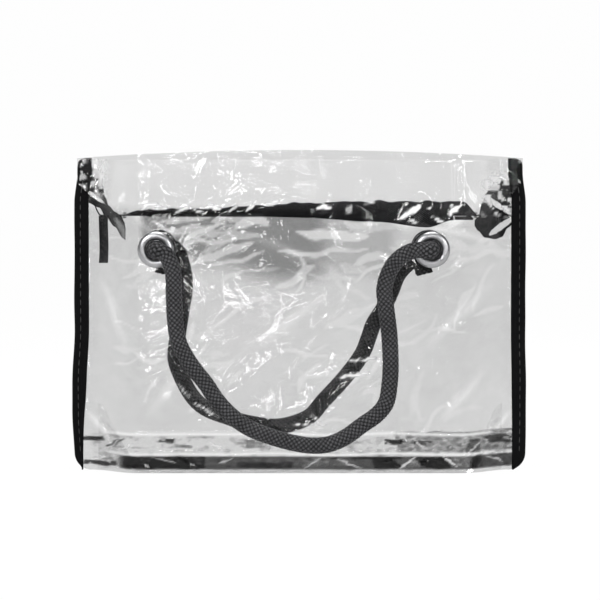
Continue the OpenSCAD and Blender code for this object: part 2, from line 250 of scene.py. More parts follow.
def add_piece(name, verts, faces, material, body, slot, replaces=()):
    """A smooth-shaded piece from points in millimetres, riding on a body unless that is None."""
    mesh = bpy.data.meshes.new(name)
    mesh.from_pydata([Vector(v) * MM for v in verts], [], faces)
    mesh.validate()
    mesh.shade_smooth()
    mesh.set_sharp_from_angle(angle=SHARP_ANGLE)
    mesh.materials.append(material)
    piece = add_object(name, mesh)
    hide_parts(*replaces)
    if body:
        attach(piece, body)
    return piece


def thick_sheet(across, down, point, thickness, hole=None):
    """Points and faces of a closed thin shell, where point(x, t) over two lists gives its mid surface."""
    shell = bmesh.new()
    verts = [shell.verts.new(point(x, t)) for x in across for t in down]
    for face in grid_faces(len(across), len(down)):
        corners = [verts[i] for i in face]
        middle = sum((v.co for v in corners), Vector()) / 4
        if not (hole and hole(middle)):
            shell.faces.new(corners)
    loose = [v for v in shell.verts if not v.link_faces]
    bmesh.ops.delete(shell, geom=loose, context="VERTS")
    shell.normal_update()
    for v in shell.verts:
        v.co -= v.normal * thickness / 2
    bmesh.ops.solidify(shell, geom=shell.faces[:], thickness=-thickness)
    bmesh.ops.recalc_face_normals(shell, faces=shell.faces[:])
    shell.verts.index_update()
    made = ([v.co.copy() for v in shell.verts], [tuple(v.index for v in f.verts) for f in shell.faces])
    shell.free()
    return made


def span(low, high, count):
    """count values from low to high."""
    return [mix(low, high, i / (count - 1)) for i in range(count)]


def flat_size(across, down, point):
    """Mean length across and down, in metres, of a sheet's mid surface."""
    net = [[point(x, t) for t in down] for x in across]
    wide = sum(path_length(line) for line in zip(*net)) / len(down)
    long = sum(path_length(column) for column in net) / len(across)
    return wide * MM, long * MM


def paint(piece, name, value):
    """Stores value(x, z) at each point of a piece, under a name that its material reads."""
    layer = piece.data.attributes.new(name, "FLOAT", "POINT")
    for i, vertex in enumerate(piece.data.vertices):
        at = vertex.co / MM
        layer.data[i].value = value(at.x, at.z)


def even(value):
    """The same value at every point, as paint takes it."""
    return lambda x, z: value


def paint_tone(piece, tone):
    """Stores how much light each point of a film lets through, tone(x, z), for one of its two faces."""
    paint(piece, "tone", lambda x, z: sqrt(max(tone(x, z), 0.0)))


def swept(section, places):
    """Points and faces of a closed bar, where section(place) gives its ring of points at each place."""
    rings = [section(place) for place in places]
    rows = len(rings[0])
    faces = grid_faces(len(rings), rows, closed=True)
    last = (len(rings) - 1) * rows
    faces.append(tuple(range(rows)))
    faces.append(tuple(last + r for r in reversed(range(rows))))
    return [point for ring in rings for point in ring], faces


# Materials

def feed(tree, socket, value):
    """Links a socket to another one, or sets its plain value."""
    if isinstance(value, bpy.types.NodeSocket):
        tree.links.new(value, socket)
    else:
        socket.default_value = value


def add_node(tree, kind, **values):
    """A shader node of a kind, whose inputs are set or linked by name, with _ for a space."""
    node = tree.nodes.new("ShaderNode" + kind)
    for name, value in values.items():
        feed(tree, node.inputs[name.replace("_", " ")], value)
    return node


def add_math(tree, operation, first, second=0.0):
    node = add_node(tree, "Math")
    node.operation = operation
    feed(tree, node.inputs[0], first)
    feed(tree, node.inputs[1], second)
    return node.outputs[0]


def add_ramp(tree, factor, low, high):
    """A colour between two others, by a factor."""
    node = add_node(tree, "ValToRGB", Fac=factor)
    for element, colour in zip(node.color_ramp.elements, (low, high)):
        element.color = (*colour, 1)
    return node.outputs["Color"]


def make_material(name, shader, **values):
    """A material that shows what shader(tree, **values) returns."""
    material = bpy.data.materials.new(name)
    material.use_nodes = True
    tree = material.node_tree
    tree.nodes.clear()
    add_node(tree, "OutputMaterial", Surface=shader(tree, **values).outputs[0])
    return material


def mix_shaders(tree, share, first, second):
    """A shader that shows the second of two by the given share."""
    mixed = add_node(tree, "MixShader", Fac=share)
    tree.links.new(first.outputs[0], mixed.inputs[1])
    tree.links.new(second.outputs[0], mixed.inputs[2])
    return mixed


def read_layer(tree, name):
    """The value that paint stored in a piece's mesh, or 0 where it stored none."""
    node = add_node(tree, "Attribute")
    node.attribute_name = name
    return node.outputs["Fac"]


def object_place(tree, stretch=(1, 1, 1)):
    """Object coordinates, stretched by a scale for each axis."""
    place = add_node(tree, "TexCoord").outputs["Object"]
    return add_node(tree, "Mapping", Vector=place, Scale=stretch).outputs[0]


def add_noise(tree, scale, detail, stretch=(1, 1, 1), **more):
    """Noise from 0 to 1, with about as many features to a metre as its scale."""
    place = object_place(tree, stretch)
    node = add_node(tree, "TexNoise", Vector=place, Scale=scale, Detail=detail, **more)
    return node.outputs["Fac"]


def add_bump(tree, height, strength, distance, **more):
    """The normal of a surface with a relief of the given distance, in metres."""
    node = add_node(tree, "Bump", Height=height, Strength=strength, Distance=distance, **more)
    return node.outputs[0]


HEAD_ON_GLOSS = 0.02
# colour of the painted glints, the flat white of the film's sharpest creases
GLINT_WHITE = (0.68, 0.68, 0.68, 1)


def film_shader(tree):
    """Clear film: see-through by its tone, with gloss and fine creases, and painted glints in flat white
    where its creases are sharpest and where it is crushed.
    """
    broad = add_noise(tree, 70.0, 3.0, (1, 1, 0.7), Roughness=0.45, Distortion=0.9)
    fine = add_noise(tree, 260.0, 2.0, (0.6, 1, 1), Distortion=0.4)
    creases = add_bump(tree, broad, 0.5, 0.0016)
    surface = add_bump(tree, fine, 0.25, 0.0004, Normal=creases)
    clear = add_node(tree, "BsdfTransparent", Color=read_layer(tree, "tone"))
    gloss = add_node(tree, "BsdfGlossy", Roughness=0.07, Normal=surface)
    slant = add_node(tree, "LayerWeight", Blend=0.5, Normal=surface).outputs["Facing"]
    grazing = add_math(tree, "MULTIPLY", add_math(tree, "POWER", slant, 5.0), 1 - HEAD_ON_GLOSS)
    film = mix_shaders(tree, add_math(tree, "ADD", grazing, HEAD_ON_GLOSS), clear, gloss)
    # painted glints: flat white mixed in by the film's white layer
    white = add_node(tree, "BsdfDiffuse", Color=GLINT_WHITE)
    return mix_shaders(tree, read_layer(tree, "white"), film, white)


def cloth_shader(tree, dark, light, warp, weft, rough, bump):
    """Woven tape: warp and weft ribs at the given ribs per metre along X and Z, with lint and wear."""
    split = add_node(tree, "SeparateXYZ", Vector=object_place(tree))
    ribs = []
    for axis, count in (("X", warp), ("Z", weft)):
        angle = add_math(tree, "MULTIPLY", split.outputs[axis], 2 * pi * count)
        ribs.append(add_math(tree, "SINE", angle))
    lint = add_noise(tree, 900.0, 4.0, Roughness=0.7)
    wear = add_noise(tree, 60.0, 3.0)
    weave = add_math(tree, "ADD", add_math(tree, "MULTIPLY", *ribs), lint)
    colour = add_ramp(tree, add_math(tree, "MULTIPLY", lint, wear), dark, light)
    return add_node(tree, "BsdfPrincipled", Base_Color=colour, Roughness=rough,
                    Specular_IOR_Level=0.06, Sheen_Weight=0.01, Sheen_Roughness=0.5,
                    Normal=add_bump(tree, weave, bump, 0.0003))


YARN_PLIES = 4
YARN_LAY = 5.0


def rope_shader(tree):
    """Black braided rope: plied yarn along each strand, with painted highlights on top of the strands and
    painted shade in their grooves, mottled by fibre and wear.
    """
    strand = add_node(tree, "TexCoord").outputs["UV"]
    split = add_node(tree, "SeparateXYZ", Vector=strand)
    around = add_math(tree, "MULTIPLY", split.outputs["Y"], 2 * pi * YARN_PLIES)
    along = add_math(tree, "MULTIPLY", split.outputs["X"], 2 * pi / YARN_LAY)
    yarn = add_math(tree, "SINE", add_math(tree, "ADD", around, along))
    fibre = add_noise(tree, 1400.0, 3.0, Roughness=0.7)
    wear = add_noise(tree, 120.0, 2.0)
    # painted highlight on the strand tops and painted shade in the grooves, mottled by fibre and wear noise
    painted_top_light = add_math(tree, "POWER", read_layer(tree, "painted_strand_light"), 2.4)
    shade = add_math(tree, "MULTIPLY", painted_top_light, add_math(tree, "ADD", fibre, wear))
    colour = add_ramp(tree, shade, (0.0008, 0.0008, 0.0010), (0.095, 0.095, 0.100))
    return add_node(tree, "BsdfPrincipled", Base_Color=colour, Roughness=0.5,
                    Specular_IOR_Level=0.12, Sheen_Weight=0.02, Sheen_Roughness=0.4,
                    Normal=add_bump(tree, add_math(tree, "ADD", yarn, fibre), 0.6, 0.00025))


def metal_shader(tree, colour, worn, metallic, rough):
    """Plated or enamelled metal: faint rub marks in its gloss, and wear in its colour."""
    rub = add_noise(tree, 450.0, 5.0, Roughness=0.65)
    gloss = add_node(tree, "MapRange", Value=rub, To_Min=rough * 0.6, To_Max=rough * 1.5)
    return add_node(tree, "BsdfPrincipled", Base_Color=add_ramp(tree, rub, worn, colour),
                    Metallic=metallic, Roughness=gloss.outputs[0], Normal=add_bump(tree, rub, 0.12, 0.0002))


def plastic_shader(tree):
    """Black moulded zip teeth with a fine moulded grain."""
    grain = add_noise(tree, 2200.0, 2.0)
    shade = add_ramp(tree, grain, (0.012, 0.012, 0.013), (0.030, 0.030, 0.032))
    return add_node(tree, "BsdfPrincipled", Base_Color=shade, Roughness=0.42,
                    Normal=add_bump(tree, grain, 0.15, 0.0001))


FILM = make_material("clear_film", film_shader)
BINDING = make_material("binding_tape", cloth_shader, dark=(0.0008, 0.0008, 0.0010),
                        light=(0.007, 0.007, 0.008), warp=900, weft=900, rough=0.7, bump=0.5)
TAPE = make_material("zip_tape", cloth_shader, dark=(0.008, 0.008, 0.009),
                     light=(0.048, 0.048, 0.052), warp=700, weft=1000, rough=0.75, bump=0.6)
THREAD = make_material("stitch_thread", cloth_shader, dark=(0.02, 0.02, 0.02),
                       light=(0.10, 0.10, 0.10), warp=2500, weft=2500, rough=0.6, bump=0.4)
ROPE = make_material("rope", rope_shader)
NICKEL = make_material("nickel", metal_shader, colour=(0.46, 0.46, 0.47), worn=(0.30, 0.30, 0.31),
                       metallic=1.0, rough=0.30)
ENAMEL = make_material("slider_paint", metal_shader, colour=(0.014, 0.014, 0.015),
                       worn=(0.035, 0.035, 0.036), metallic=0.0, rough=0.24)
TEETH = make_material("zip_teeth", plastic_shader)


def add_film(name, across, down, point, tone, body, replaces=(), thickness=FILM_T, hole=None):
    """A piece of clear film, which lets light through by tone(x, z)."""
    shell = thick_sheet(across, down, point, thickness, hole)
    film = add_piece(name, *shell, FILM, body, "clear_film", replaces)
    paint_tone(film, tone)
    return film


def add_woven(name, across, down, point, body, replaces, hole=None):
    """A piece of the zip's woven tape."""
    shell = thick_sheet(across, down, point, TAPE_T, hole)
    return add_piece(name, *shell, TAPE, body, "zip_tape", replaces)


# Camera, at the photograph's viewing angle

PIXELS = 600
PIXELS_PER_MM = 2.05
PHOTO_BASE_Y = 470
CAMERA_AWAY = 1600
CAMERA_TILT = radians(2.5)
SENSOR = 36
CLIP_END = 20


def add_camera():
    middle_z = (PHOTO_BASE_Y - PIXELS / 2) / PIXELS_PER_MM
    target = Vector((0, 0, middle_z))
    back = Vector((0, -cos(CAMERA_TILT), sin(CAMERA_TILT)))
    data = bpy.data.cameras.new("camera")
    data.sensor_width = SENSOR
    data.lens = SENSOR * CAMERA_AWAY * PIXELS_PER_MM / PIXELS
    data.clip_end = CLIP_END
    camera = add_object("camera", data)
    camera.location = (target + back * CAMERA_AWAY) * MM
    camera.rotation_euler = (-back).to_track_quat("-Z", "Y").to_euler()
    bpy.context.scene.camera = camera


add_camera()


# Rope handles: routes as [x, z] points from the left eyelet to the right one

FRONT_ROUTE = [
    [-64, 105.5], [-61, 98], [-60.5, 86], [-60, 75], [-58.5, 65], [-55.5, 58], [-50.5, 50.5],
    [-45, 43.5], [-40, 36], [-33, 28.5], [-24.5, 22.5], [-13, 18], [-1.5, 15], [7.5, 14], [15, 15],
    [22.5, 18.5], [30, 24], [37, 29], [41.5, 35], [43, 43.5], [43.5, 52], [43, 66], [42, 75], [41, 83],
    [40.5, 90], [43, 98], [48, 104.5], [55, 108],
]
BACK_ROUTE = [
    [-61.5, 107], [-58, 98], [-57, 88], [-60, 68], [-62, 54], [-59, 44], [-53.5, 34], [-47, 28],
    [-37, 24], [-25, 20.5], [-10, 19], [4, 23.5], [11, 31], [22, 43], [30.5, 54.5], [34, 63],
    [36.5, 70], [41, 77], [45, 85.5], [49, 95], [56, 102],
]
STRANDS = 10
BRAID_PITCH = 24
STRAND_HALF_W = 1.0
STRAND_HALF_T = 0.65
STRAND_LIFT = 0.4
# Share of a strand's lift that lies within the rope's diameter
LIFT_IN_D = 0.75
STRAND_SIDES = 8
STRAND_TURNS = [2 * pi * k / STRAND_SIDES for k in range(STRAND_SIDES)]
BRAID_STEP = 0.5
BRAID_R = ROPE_D / 2 - STRAND_HALF_T - LIFT_IN_D * STRAND_LIFT
CROSSING = BRAID_PITCH / (2 * STRANDS)


def strand_tube(path, frames, lengths, way, strand):
    """Points and painted light of one strand, which winds one way and passes over and under the others.

    A point's painted light is 1 on top of the strand where it passes over the others, and 0 in the grooves: a
    painted highlight on the tops and painted shade in the grooves.
    """
    angles = [2 * pi * (way * along / BRAID_PITCH + strand / STRANDS) for along in lengths]
    lifts = [way * cos(pi * along / CROSSING) for along in lengths]
    outs = [side * cos(angle) + up * sin(angle) for angle, (side, up) in zip(angles, frames)]
    middles = [at + out * (BRAID_R + STRAND_LIFT * lift) for at, out, lift in zip(path, outs, lifts)]
    verts, painted_strand_lights = [], []
    for i, (middle, out, lift) in enumerate(zip(middles, outs, lifts)):
        across = ahead(middles, i).cross(out).normalized() * STRAND_HALF_W
        for turn in STRAND_TURNS:
            verts.append(middle + across * sin(turn) - out * STRAND_HALF_T * cos(turn))
            # painted highlight on the strand's top where it passes over, painted shade in the grooves
            painted_strand_lights.append((0.5 + 0.5 * lift) * max(-cos(turn), 0))
    return verts, painted_strand_lights


def braid(path, frames, first):
    """Points, faces, strand coordinates and painted light of a round braid over a core along a path.

    The path's first point is step number first of the whole rope.
    """
    lengths = [(first + i) * BRAID_STEP for i in range(len(path))]
    verts, painted_strand_lights, faces = [], [], []
    for way in (1, -1):
        for strand in range(STRANDS):
            points, strand_lights = strand_tube(path, frames, lengths, way, strand)
            verts += points
            painted_strand_lights += strand_lights
    core = len(verts)
    core_r = BRAID_R - STRAND_LIFT
    for at, (side, up) in zip(path, frames):
        verts += [at + (side * cos(turn) + up * sin(turn)) * core_r for turn in STRAND_TURNS]
    tube = len(verts) - core
    painted_strand_lights += [0.0] * tube
    for start in range(0, len(verts), tube):
        faces += grid_faces(len(path), STRAND_SIDES, closed=True, start=start)
    for ring in (core, len(verts) - STRAND_SIDES):
        faces.append(tuple(ring + k for k in range(STRAND_SIDES)))
    strand_at = [(along, k / STRAND_SIDES) for along in lengths for k in range(STRAND_SIDES)]
    return verts, faces, strand_at * (len(verts) // tube), painted_strand_lights


def add_rope(name, path, frames, body, replaces, first=0):
    verts, faces, strand_at, painted_strand_lights = braid(path, frames, first)
    rope = add_piece(name, verts, faces, ROPE, body, "rope", replaces)
    # the strands' painted highlight and shade, which the rope's material reads
    rope.data.attributes.new("painted_strand_light", "FLOAT", "POINT").data.foreach_set("value", painted_strand_lights)
    layer = rope.data.uv_layers.new(name="strand")
    for loop in rope.data.loops:
        layer.data[loop.index].uv = strand_at[loop.vertex_index]
    return rope


ROPE_UP = (0, 0, 1)
BORE_Y = OUTER_Y - 1
NECK_L = 15
NECK_DEPTHS = [BORE_Y, mix(BORE_Y, LOOP_Y, 0.55), LOOP_Y - 0.7]
NECK_STEPS = {
    # steps inwards and down from the eyelet's centre, at each of these depths
    "left": [(0, 0), (0.3, 0.1), (2.2, 0.7)],
    "right": [(0, 0), (0.3, 0), (2.4, 0.3)],
}


def neck_points(side, end):
    """Points of the rope from an eyelet's bore out to the loop."""
    centre = EYELETS[side, end]
    return [(centre.x - ENDS[end] * step, SIDES[side] * depth, centre.z - drop)
            for (step, drop), depth in zip(NECK_STEPS[end], NECK_DEPTHS)]


def add_handle(side, route):
    """One handle's free rope, out of one eyelet, down over the panel and back into the other.

    The loop rides on its own body as one piece. The short necks at its ends run between the eyelets and the
    loop, and ride on no body.
    """
    points = neck_points(side, "left") + [(x, SIDES[side] * LOOP_Y, z) for x, z in route]
    points += reversed(neck_points(side, "right"))
    path = smooth_path(points, BRAID_STEP)
    frames = path_frames(path, ROPE_UP)
    cut = round(NECK_L / BRAID_STEP)
    last = len(path) - 1 - cut
    for end, low, high, root, tip in (("left", 0, cut, 0, cut), ("right", last, len(path) - 1, -1, last)):
        neck = add_rope(f"{side}_{end}_rope_neck", path[low:high + 1], frames[low:high + 1], None, [], low)
        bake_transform(neck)
    loop_path = path[cut:last + 1]
    rope = add_rope(f"{side}_rope", loop_path, frames[cut:last + 1], f"{side}_loop", [f"{side}_handle"], cut)
    path_length(loop_path) * MM


KNOT_TURNS = 1.35
KNOT_STEPS = 14
KNOT_COIL_R = 4.4
KNOT_IN = 4.5
KNOT_DEEP = 11.5
KNOT_TAIL = 9


def add_knot(side, end):
    """The overhand knot behind an eyelet: the rope runs in, winds round itself and its end drops."""
    out = SIDES[side]
    centre = EYELETS[side, end]
    turn_way = ENDS[end]
    points = []
    for depth in span(-0.8, KNOT_IN, 4):
        points.append((centre.x, out * (BORE_Y - depth), centre.z))
    for i in range(1, KNOT_STEPS + 1):
        t = i / KNOT_STEPS
        angle = turn_way * 2 * pi * KNOT_TURNS * t + pi / 2
        reach = KNOT_COIL_R * ease(3 * t)
        depth = mix(KNOT_IN, KNOT_DEEP - ROPE_D / 2 + 2, t)
        points.append((centre.x + reach * cos(angle), out * (BORE_Y - depth),
                       centre.z + reach * sin(angle)))
    last = Vector(points[-1])
    points.append(last + Vector((-0.5 * turn_way, 0, -KNOT_TAIL / 2)))
    points.append(last + Vector((0.5 * turn_way, 0, -KNOT_TAIL)))
    path = smooth_path(points, BRAID_STEP)
    add_rope(f"{side}_{end}_knot", path, path_frames(path, ROPE_UP), "bag", [f"{side}_rope_ends"])


for side, route in (("front", FRONT_ROUTE), ("back", BACK_ROUTE)):
    add_handle(side, route)
    for end in ENDS:
        add_knot(side, end)


# Film panels

CREASES = [
    # x and z of both ends, height and half width of a sharp crease in the film
    (-83, 129, -66, 110, 0.35, 1.6),
    (-30, 118, 22, 96, 0.25, 2.2),
    (48, 122, 96, 112, 0.35, 1.6),
    (-97, 96, -84, 60, 0.30, 2.0),
    (60, 60, 92, 92, 0.25, 2.4),
    (-20, 62, 14, 88, 0.22, 2.6),
    (-76, 26, -48, 60, 0.20, 2.4),
    (66, 24, 90, 50, 0.26, 2.0),
    (-104, 30, -88, 9, 0.50, 1.3),
    (104, 30, 86, 9, 0.50, 1.3),
    (47, 118, 61, 134, 0.95, 4.6),
    (70, 119, 84, 133, 0.80, 4.0),
    (6, 126, 18, 131, 0.45, 2.4),
    (-84, 128, -48, 130, 0.38, 2.2),
    (-50, 129, -8, 131.5, 0.36, 2.0),
]
WELDS = [
    # height above the table, stand and half width of the pressed lines along the bottom
    (19, 0.45, 0.8),
    (9.4, 0.55, 0.7),
]
CREASE_WANDER = 1.2
BILLOW_H, BILLOW_SCALE = 0.9, 52
RUMPLE_H, RUMPLE_SCALE = 0.28, 17
RIDGE_H, RIDGE_SCALE, RIDGE_SHARPNESS = 0.45, 30, 8
WRINKLE_SEEDS = {"front": 3, "back": 11}


def line_ridge(x, z, crease):
    """Height at a point of one crease, which wanders a little and fades towards its ends."""
    *ends, height, half = crease
    t, off = beside_line(x, z, *ends)
    if not 0 < t < 1 or abs(off) > 3 * half + CREASE_WANDER:
        return 0.0
    off += CREASE_WANDER * ripple(x, z, 14, 40)
    return height * sin(pi * t) * exp(-((off / half) ** 2))


def weld_line(x, z, weld):
    """How close a point lies to a weld's middle, which wavers a little: 1 on it, and 0 away from it."""
    height, _, half = weld
    return exp(-(((z - height - 0.7 * ripple(x, 0, 30, 9)) / half) ** 2))


def wrinkle(x, z, side):
    """How far a panel's film stands out from its smooth shape, less at its edges and round its eyelets."""
    seed = WRINKLE_SEEDS[side]
    billow = BILLOW_H * ripple(x, z * 1.2, BILLOW_SCALE, seed)
    billow += RUMPLE_H * ripple(x + 0.4 * z, z, RUMPLE_SCALE, seed + 1)
    ridged = 1 - abs(ripple(x - 0.5 * z, 0.6 * z, RIDGE_SCALE, seed + 2))
    creases = RIDGE_H * max(ridged, 0) ** RIDGE_SHARPNESS + sum(line_ridge(x, z, c) for c in CREASES)
    edge = ease((SEAM_X - abs(x)) / 14) * ease(z / 6) * ease((top_z(x) - z) / 5)
    for end in ENDS:
        centre = EYELETS[side, end]
        away = hypot(x - centre.x, z - centre.z)
        edge *= ease((away - EYELET_R) / 8)
    welds = sum(weld[1] * weld_line(x, z, weld) for weld in WELDS)
    stand = (billow + creases) * edge + welds * ease((SEAM_X - abs(x)) / 6)
    return max(stand, mix(-2, -0.2, ease((z - 110) / 8)))


TONE_SEED = 21
CLEAR_TONE = {"front": 0.655, "back": 0.985}
TOP_TONE = 0.905
# tone of the painted shade under the zip's dark strip
ZIP_SHADE_TONE = 0.27
# tone of the painted highlights, pale strokes in the front film
HIGHLIGHT_TONE = 0.77
HEM_SHARE = 0.94
# painted reflections of the bottom folds: a pale zone, a dark grey band and pale weld lines
FOLD_PALE = 0.64
REFLECTED_BAND_GREY = 0.08
WELD_HIGHLIGHT_TONE = 0.93
# where the painted shade under the zip's dark strip lies
ZIP_SHADE_LEFT, ZIP_SHADE_RIGHT = -79, 50
ZIP_SHADE_LOW, ZIP_SHADE_TOP = 92, 129
ZIP_LINE = 126
DARK_REFLECTIONS = [
    # x range, z range, lean and tone of the painted reflections: dark facets of folded film along the bottom
    # of the front
    (46, 105, 9.8, 20.5, 0, 0.27),
    (-106, -88.5, 2.4, 5.2, 0, 0.04),
    (-86.5, -45, 1.8, 8.3, 0, 0.01),
    (-39.5, 1, 2.4, 8, 0, 0.08),
    (-32, -4, 2.4, 5.6, 0.4, 0.02),
    (1, 14, 2.4, 8, 0, 0.12),
    (14.5, 50, 6.6, 8.3, 0, 0.01),
    (14.5, 22, 2.4, 8, 0.5, 0.11),
    (36, 50, 2.2, 7.5, -0.6, 0.01),
    (51, 58, 2.4, 8, 0.4, 0.19),
    (60, 75, 2, 8.2, -0.9, 0.01),
    (73.5, 83, 2.4, 8, 0, 0.19),
    (81.5, 87, 1.8, 9.8, 0.4, 0.01),
    (87.5, 105, 2, 8.4, 0, 0.06),
    (-106, -95, 14.2, 16.8, 0, 0.04),
    (-95, -92.5, 11.8, 16, 1.2, 0.06),
    (-92, -89.5, 12, 16.5, 1.2, 0.06),
    (-69, -61, 14.5, 17.2, 0.3, 0.05),
    (-60, -52, 11.8, 14, 0, 0.26),
    (-27, -17, 12, 16.5, -0.3, 0.23),
    (40, 50, 13.8, 16.6, 0.3, 0.04),
    (53.5, 64.5, 13.6, 16.2, 0, 0.05),
    (80, 87.5, 9.6, 17, 0, 0.10),
    (91, 105, 13.5, 17.8, -0.5, 0.04),
    (89, 105, 10, 12.6, 0, 0.23),
]
BROAD_HIGHLIGHTS = [
    # middle x and z, angle, half length, half width, bow and strength of the widest painted highlights, pale
    # strokes along creases
    (16.5, 115.3, 0, 18, 3.2, 0, 1.0),
    (-46, 117, 24, 13, 1.6, -2, 0.9),
    (-43, 111.5, -4, 11, 1.4, 1, 0.8),
    (12, 106.5, 2, 24, 1.8, 1, 0.8),
    (-30, 103, 12, 15, 1.5, 2, 0.7),
    (-3, 95, 30, 11, 2.5, 0, 0.7),
    (36, 66, -14, 21, 1.7, 2, 0.8),
    (24, 76, 26, 14, 2.6, 1, 0.6),
    (-28, 80, 32, 16, 1.8, -2, 0.7),
]
GLINT_STROKES = [
    # the same values for painted glints, flat white creases over the zip's strip, the rear rope and the
    # bottom
    (-86.5, 118.5, -62, 7, 1.7, 0, 0.14),
    (-71.3, 129.6, 3, 7.5, 0.9, -3.0, 0.9),
    (-57, 127.2, 22, 4, 0.8, 0, 0.8),
    (-50, 126.8, -18, 5, 0.7, 0, 0.7),
    (-41.4, 128.6, -21, 5, 0.9, 0, 0.9),
    (-33, 127.2, 28, 4, 0.7, 0, 0.7),
    (-23.1, 129.2, 45, 4, 0.9, 0, 0.9),
    (-13.5, 130.8, 8, 5, 0.8, -1, 0.8),
    (12, 128.6, 0, 3.5, 1.3, 0, 0.95),
    (23.6, 127.1, 60, 2.5, 1.8, 0, 0.3),
    (33.7, 130.5, 10, 2.5, 0.7, 0, 0.6),
    (53, 126, 32, 6.8, 1.5, 0, 0.95),
    (54.4, 121.6, -10, 3, 0.8, 0, 0.7),
    (62.6, 128.1, 20, 1.8, 0.8, 0, 0.7),
    (66, 122.8, -25, 3.4, 0.9, 0, 0.8),
    (74.7, 127.2, 40, 5, 1.2, 0, 0.9),
    (30, 55, 5, 8, 0.9, 0, 0.7),
    (25, 47.3, 10, 9, 1.1, 0, 0.75),
    (8.5, 25.5, -35, 5, 0.8, 0, 0.7),
    (1, 23.5, 0, 7, 0.6, 0, 0.8),
    (-46, 31, -32, 8, 0.7, 0, 0.7),
    (-56, 40, -55, 5, 0.6, 0, 0.5),
    (-98, 6, 12, 6, 0.7, 0, 0.6),
    (-84, 12.5, 30, 5, 0.6, 0, 0.6),
    (-66, 6.5, -14, 7, 0.6, 0, 0.4),
    (-40, 13, -28, 6, 0.7, 0, 0.6),
    (-36, 6, 24, 5, 0.6, 0, 0.5),
    (6, 5, 35, 5, 0.7, 0, 0.6),
    (24, 4.5, -20, 7, 0.7, 0, 0.6),
    (52, 5, 38, 6, 0.8, 0, 0.7),
    (58, 14, -30, 6, 0.7, 0, 0.6),
    (72, 6, -35, 6, 0.8, 0, 0.7),
    (84, 12, 40, 6, 0.7, 0, 0.6),
    (95, 6, -22, 5, 0.7, 0, 0.6),
]
STROKE_COUNT = 100
STROKE_EDGE = 0.7
HIGH_SHARE = 0.35
STROKE_BANDS = {
    # height range, mean and spread of the angle, and size of the other painted highlight strokes high and low
    # on the film
    "high": (98, 124, 8, 14, 1.25),
    "low": (24, 98, 30, 32, 0.9),
}
STROKE_X = (-94, 98)
STROKE_HALF_L = (5, 15)
STROKE_HALF_W = (0.7, 2.4)
STROKE_BOW = (-4, 4)
STROKE_STRENGTH = (0.3, 0.9)
CRUSHED_SIZE = (3.2, 2.4)
# share of painted glint on the crushed corners
CRUSHED_GLINT_SHARE = 0.62
CRUSHED_CORNERS = {
    # range of the distance from the middle, and of the height, of the crushed film at each end
    "left": (92, 113, 131, 157),
    "right": (86, 106, 122, 147),
}


def make_highlight_strokes():
    """Random places, angles and sizes of the other painted highlights, pale brush-like strokes in the front
    film's tone.
    """
    pick = random.Random(TONE_SEED)
    made = []
    for _ in range(STROKE_COUNT):
        band = "high" if pick.random() < HIGH_SHARE else "low"
        low, high, mean, spread, size = STROKE_BANDS[band]
        z = pick.uniform(low, high)
        angle = pick.gauss(mean, spread)
        made.append((pick.uniform(*STROKE_X), z, angle, size * pick.uniform(*STROKE_HALF_L),
                     size * pick.uniform(*STROKE_HALF_W), pick.uniform(*STROKE_BOW),
                     pick.uniform(*STROKE_STRENGTH)))
    return made


def aimed(marks):
    """The same strokes, each with a direction in place of its angle in degrees."""
    return [(x, z, cos(radians(a)), sin(radians(a)), *rest) for x, z, a, *rest in marks]


def highlight_strokes(x, z, marks):
    """How far a point lies in one of the given strokes of painted highlight, from 0 to 1."""
    most = 0.0
    for mid_x, mid_z, way_x, way_z, half_l, half_w, bow, strength in marks:
        off_x, off_z = x - mid_x, z - mid_z
        t = (off_x * way_x + off_z * way_z) / half_l
        if -1 < t < 1:
            off = abs(off_z * way_x - off_x * way_z - bow * t * t)
            most = max(most, strength * ease((half_w * sqrt(1 - t * t) - off) / STROKE_EDGE))
    return most


def facet(x, z, width, height, seed):
    """One value from 0 to 1 for each flat facet of crumpled film, of about the given size."""
    _, points = noise.voronoi(Vector((x / width + 0.35 * z / height, z / height, seed)))
    return 0.5 + 0.5 * sin(47 * points[0].x + 31 * points[0].y)


def crushed_glints(x, z):
    """How much painted glint, in flat white, the film carries at a point of a bag's upper corner, where it is
    crushed into small facets.
    """
    near, far, low, high = CRUSHED_CORNERS["left" if x < 0 else "right"]
    corner = window(abs(x), near, far, 5) * window(z, low, high, 5)
    if corner == 0:
        return 0.0
    return CRUSHED_GLINT_SHARE * corner * ease((facet(x, z, *CRUSHED_SIZE, 81) - 0.55) / 0.2)


def front_glints(x, z):
    """How much painted glint, in flat white, the front film carries at a point, in its sharpest creases and
    its crushed corners.
    """
    shift_x, shift_z = 1.2 * ripple(x, z, 3.0, 83), 0.9 * ripple(x, z, 2.5, 84)
    return max(crushed_glints(x, z), highlight_strokes(x + shift_x, z + shift_z, GLINT_MARKS))


